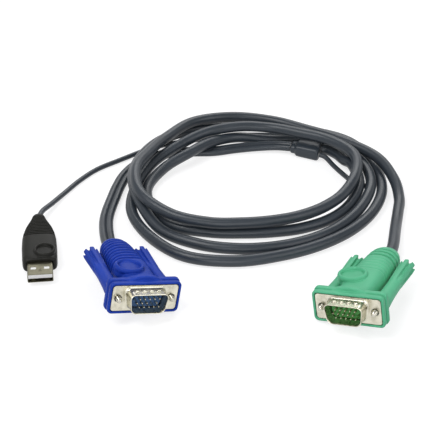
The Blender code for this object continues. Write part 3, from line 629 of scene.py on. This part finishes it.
shell_top, shell_bottom, shell_height, shell_corner = 0.0182, 0.0153, 0.0094, 0.0025
shell_middle = (shell_top + shell_bottom) / 2.0


def d_tube(name, stations, closed):
    """The D outline drawn out along Y: each station is a place and how far out it lies. Closed
    joins the first ring to the last as a wall, and otherwise the ends are filled."""
    bpy.ops.object.select_all(action="DESELECT")
    bpy.ops.mesh.primitive_plane_add(size=1.0)
    made = bpy.context.object
    made.name = name
    for vertex in made.data.vertices:
        vertex.co.x *= shell_top if vertex.co.y > 0.0 else shell_bottom
        vertex.co.y *= shell_height
    bpy.ops.object.mode_set(mode="EDIT")
    bpy.ops.mesh.select_all(action="SELECT")
    bpy.ops.mesh.bevel(offset=shell_corner, segments=7, affect="VERTICES")
    bpy.ops.mesh.select_all(action="SELECT")
    if closed:
        bpy.ops.mesh.delete(type="ONLY_FACE")
    bpy.ops.mesh.select_all(action="SELECT")
    along, out = stations[0]
    bpy.ops.transform.resize(
        value=(1.0 + 2.0 * out / shell_middle, 1.0 + 2.0 * out / shell_height, 1.0))
    draw_out = bpy.ops.mesh.extrude_edges_move if closed else bpy.ops.mesh.extrude_region_move
    for further, outset in stations[1:]:
        draw_out(TRANSFORM_OT_translate={"value": (0.0, 0.0, along - further)})
        bpy.ops.transform.resize(
            value=((shell_middle + 2.0 * outset) / (shell_middle + 2.0 * out),
                   (shell_height + 2.0 * outset) / (shell_height + 2.0 * out), 1.0))
        along, out = further, outset
    if closed:
        bpy.ops.mesh.select_all(action="DESELECT")
        bpy.ops.mesh.select_non_manifold(extend=False)
        bpy.ops.mesh.bridge_edge_loops()
    bpy.ops.mesh.select_all(action="SELECT")
    bpy.ops.mesh.normals_make_consistent(inside=False)
    bpy.ops.object.mode_set(mode="OBJECT")
    lay_along(made, stations[0][0])
    return made


nickel = plated("nickel_plate", color=(0.72, 0.69, 0.57), dark=(0.52, 0.50, 0.40),
                roughness=0.28, relief_depth=0.000035)
wall_stations = (
    (0.0006, 0.0002), (0.0001, 0.0011), (-0.00012, 0.0011), (-0.00020, 0.0009),
    (-0.00035, 0.0006), (-0.0006, 0.00035), (-0.0010, 0.0002), (-0.0016, 0.0001),
    (-0.0052, 0.0), (-0.0057, 0.0001), (-0.0060, 0.0002), (-0.0062, 0.00015), (-0.0063, 0.0),
    (-0.0062, -0.0002), (-0.0059, -0.0003), (-0.0054, -0.0004), (-0.0010, -0.0004),
    (0.0006, -0.0004),
)
dimple_out, dimple_half = 0.00478, 0.00050
for color, at in (("blue", blue_at), ("green", green_at)):
    plate = slab("plate", width=0.0307, height=0.0124, corner=0.0014, front=0.0, rear=0.0008,
                 edge=0.00012)
    opening = d_tube("opening", ((0.0020, -0.0003), (-0.0020, -0.0003)), closed=False)
    holes = [hole_rod("hole", radius=0.00178, front=-0.001, rear=0.002,
                      x=side * screw_from_middle, sides=40) for side in (-1, 1)]
    cut([plate], [opening] + holes)
    wall = d_tube("wall", wall_stations, closed=True)
    dimples = [mound("dimple", width=0.0026, depth=0.0021, base=up * dimple_out - dimple_half,
                     top=up * dimple_out + dimple_half, middle=(x, -0.0030))
               for up in (1, -1) for x in (-0.0051, -0.0017, 0.0017, 0.0051)]
    shell = merged(color + "_d_shell", [plate, wall] + dimples)
    bpy.ops.object.shade_smooth_by_angle(angle=math.radians(40))
    apply_modifier(shell, "WEIGHTED_NORMAL", keep_sharp=True)
    shell.data.transform(at)
    dress(shell, nickel, color + "_shell")


# Insulators and contacts: a glass-filled block in the plug's colour holds fourteen plated pins in
# the blue plug and fifteen in the green one. The CAD pieces have the right shape already, and
# only need their finish.
def wear(node, finish):
    nodes[node].data.materials.clear()
    nodes[node].data.materials.append(finish)


blue_block = moulded("blue_block", color=(0.060, 0.145, 0.34), dark=(0.045, 0.110, 0.27),
                     roughness=0.50, grain=2500.0, grain_depth=0.00002, gloss=0.4)
green_block = moulded("green_block", color=(0.095, 0.39, 0.105), dark=(0.072, 0.31, 0.080),
                      roughness=0.50, grain=2500.0, grain_depth=0.00002, gloss=0.4)
pin_plating = plated("pin_plating", color=(0.92, 0.86, 0.70), dark=(0.80, 0.72, 0.54),
                     roughness=0.22, relief_depth=0.000005)
for name in nodes:
    if name.endswith("_insulator"):
        wear(name, blue_block if name.startswith("blue") else green_block)
    elif "_pin_" in name:
        wear(name, pin_plating)


# Screws of the thumbscrews: plated steel with a rolled thread and a rounded tip. The shank is
# held in the grip, passes the flange and the plate, and stands proud of the plate's face.
bright_steel = plated("bright_steel", color=(0.64, 0.62, 0.54), dark=(0.46, 0.44, 0.37),
                      roughness=0.20, relief_depth=0.00001)
thread_pitch, thread_share = 0.00064, 0.17
thread_front, thread_rear = -0.0024, 0.0068
screw_tip = [(-0.00290, 0.0008), (-0.00284, 0.0013), (-0.00262, 0.0019), (-0.0023, 0.0024)]
threaded_shank = [(-0.0021 + 0.0001 * i, 0.00272) for i in range(89)]
plain_shank = [(0.0070, 0.0026), (0.0150, 0.0026)]
screw_rings = [(along, wide, wide, 2.0, 0.0)
               for along, wide in screw_tip + threaded_shank + plain_shank]
for color, at in (("blue", blue_at), ("green", green_at)):
    for side, sign in (("l", -1), ("r", 1)):
        screw = stack(f"{color}_thumb_screw_{side}", screw_rings, 32)
        for vertex in screw.data.vertices:
            if thread_front < vertex.co.y < thread_rear:
                turn = math.atan2(vertex.co.z, vertex.co.x) / (2.0 * math.pi)
                slope = abs(2.0 * ((vertex.co.y / thread_pitch - turn) % 1.0) - 1.0)
                vertex.co.x *= 1.0 - thread_share * slope
                vertex.co.z *= 1.0 - thread_share * slope
        pick(screw)
        bpy.ops.object.shade_smooth_by_angle(angle=math.radians(50))
        screw.data.transform(at @ Matrix.Translation((sign * screw_from_middle, 0.0, 0.0)))
        dress(screw, bright_steel, f"{color}_screw_{side}", f"{color}_thumbscrew_{side}")


# Small flat plug's overmould: black PVC moulded over the crimped shell and lead, wide and flat at
# the front and drawn to a ribbed point at the back, with thirteen fine ribs and a raised oval.
usb_at = plug_matrix((-0.0855, -0.0463, 0.0045), yaw=8.8, pitch=0.0, roll=1.7)
usb_sections = (
    (0.0000, 0.0148, 0.0070, 4.0, 0.0003), (0.0005, 0.0158, 0.0080, 4.2, 0.0002),
    (0.0030, 0.0167, 0.0088, 4.4, 0.0), (0.0130, 0.0170, 0.0090, 4.0, 0.0),
    (0.0200, 0.0166, 0.0089, 3.8, 0.0), (0.0250, 0.0154, 0.0086, 3.4, 0.0),
    (0.0300, 0.0132, 0.0081, 3.2, 0.0), (0.0340, 0.0106, 0.0075, 2.8, 0.0),
    (0.0380, 0.0080, 0.0066, 2.4, 0.0), (0.0414, 0.0064, 0.0058, 2.2, 0.0),
    (0.0420, 0.0058, 0.0052, 2.2, 0.0),
)
usb_ribs = [0.0212 + 0.00148 * i for i in range(13)]
black_plastic = moulded("black_plastic", color=(0.016, 0.016, 0.0135), dark=(0.011, 0.011, 0.009),
                        roughness=0.48, grain=1500.0, grain_depth=0.00003, gloss=0.2)
bullet = stack("bullet", ribbed(usb_sections, usb_ribs, half=0.00040, depth=0.0010), 64)
oval = oval_ring("oval", width=0.0104, depth=0.0104, rim=0.0014, base=0.0034, top=0.0057,
                 middle=(0.0026, 0.0064))
socket = slab("socket", width=0.0124, height=0.0049, corner=0.0007, front=-0.001, rear=0.0045,
              edge=0.0)
cut([bullet], [socket])
usb_body = merged("usb_bullet", [bullet, oval])
grown_together(usb_body, voxel=0.00019, passes=1)
usb_body.data.transform(usb_at)
dress(usb_body, black_plastic, "usb_overmould")


# Its shell: sheet steel folded into a tube and joined along the top by a dovetailed seam, with
# two latch windows above and two below. It is crimped to the lead and held by the overmould.
tube = slab("usb_tube", width=0.0120, height=0.0045, corner=0.0006, front=-0.0099, rear=0.0040,
            edge=0.0)
inside = slab("inside", width=0.0114, height=0.0039, corner=0.0004, front=-0.0110, rear=0.0036,
              edge=0.0)
openings = []
for x in (-0.0031, 0.0031):
    bpy.ops.mesh.primitive_cube_add(size=1.0)
    latch_window = bpy.context.object
    latch_window.data.transform(Matrix.Diagonal((0.0026, 0.0022, 0.0090, 1.0)))
    latch_window.data.transform(Matrix.Translation((x, -0.0046, 0.0)))
    apply_modifier(latch_window, "BEVEL", width=0.0002, segments=3)
    openings.append(latch_window)
seam_width, seam_depth, seam_height = 0.00020, 0.0003, 0.00225
seam = (
    (0.0, 0.0, 0.0, -0.0058), (0.0, -0.0058, -0.0007, -0.0072),
    (-0.0007, -0.0072, 0.0007, -0.0072), (0.0007, -0.0072, 0.0, -0.0058),
    (0.0, -0.0072, 0.0, -0.0100),
)
for from_x, from_y, to_x, to_y in seam:
    length = math.hypot(to_x - from_x, to_y - from_y)
    turn = math.atan2(from_x - to_x, to_y - from_y)
    bpy.ops.mesh.primitive_cube_add(size=1.0)
    line = bpy.context.object
    line.data.transform(Matrix.Diagonal((seam_width, length, seam_depth, 1.0)))
    line.data.transform(Matrix.Rotation(turn, 4, "Z"))
    line.data.transform(
        Matrix.Translation(((from_x + to_x) / 2, (from_y + to_y) / 2, seam_height)))
    openings.append(line)
cut([tube], [inside] + openings)
apply_modifier(tube, "BEVEL", width=0.00006, segments=2, limit_method="ANGLE",
               angle_limit=math.radians(50))
bpy.ops.object.shade_smooth_by_angle(angle=math.radians(40))
apply_modifier(tube, "WEIGHTED_NORMAL", keep_sharp=True)
tube.data.transform(usb_at)
tube_plate = plated("tube_plate", color=(0.20, 0.190, 0.137), dark=(0.155, 0.147, 0.105),
                    roughness=0.40, relief_depth=0.00001)
dress(tube, tube_plate, "usb_shell")


# Tongue inside the shell: a white plastic block that carries the four plated contacts under it.
# The contacts come from the CAD and only need their finish.
tongue = slab("usb_tongue_block", width=0.0113, height=0.00203, corner=0.0002, front=-0.00985,
              rear=0.0035, edge=0.0001)
tongue.data.transform(usb_at @ Matrix.Translation((0.0, 0.0, 0.00091)))
bpy.ops.object.shade_smooth_by_angle(angle=math.radians(40))
tongue_white = moulded("tongue_white", color=(0.92, 0.92, 0.91), dark=(0.86, 0.86, 0.85),
                       roughness=0.45, grain=2000.0, grain_depth=0.00001, gloss=0.4)
dress(tongue, tongue_white, "usb_tongue")
for name in nodes:
    if name.startswith("usb_contact"):
        wear(name, pin_plating)


# Splitter: a block of the jackets' PVC, moulded over the place where the wires divide. A rounded
# collar holds the twin lead, and the round cable and the thin lead leave its wide face side by
# side.
splitter_at = plug_matrix((0.0405, 0.0690, 0.0039), yaw=-108.0, pitch=0.0, roll=0.0)
block = stack("splitter_block", (
    (0.0000, 0.0076, 0.0046, 2.6, 0.0), (0.0004, 0.0084, 0.0054, 2.8, 0.0),
    (0.0026, 0.0085, 0.0055, 3.0, 0.0), (0.0030, 0.0094, 0.0064, 3.4, 0.0),
    (0.0036, 0.0102, 0.0072, 3.6, 0.0), (0.0060, 0.0107, 0.0074, 4.0, 0.0),
    (0.0100, 0.0116, 0.0075, 4.2, 0.0), (0.0145, 0.0125, 0.0076, 4.6, 0.0),
    (0.0156, 0.0126, 0.0075, 4.6, 0.0), (0.0162, 0.0122, 0.0071, 4.2, 0.0),
    (0.0164, 0.0114, 0.0064, 3.6, 0.0),
), 72)
grown_together(block, voxel=0.00018, passes=14)
block.data.transform(splitter_at)
dress(block, jacket, "splitter")
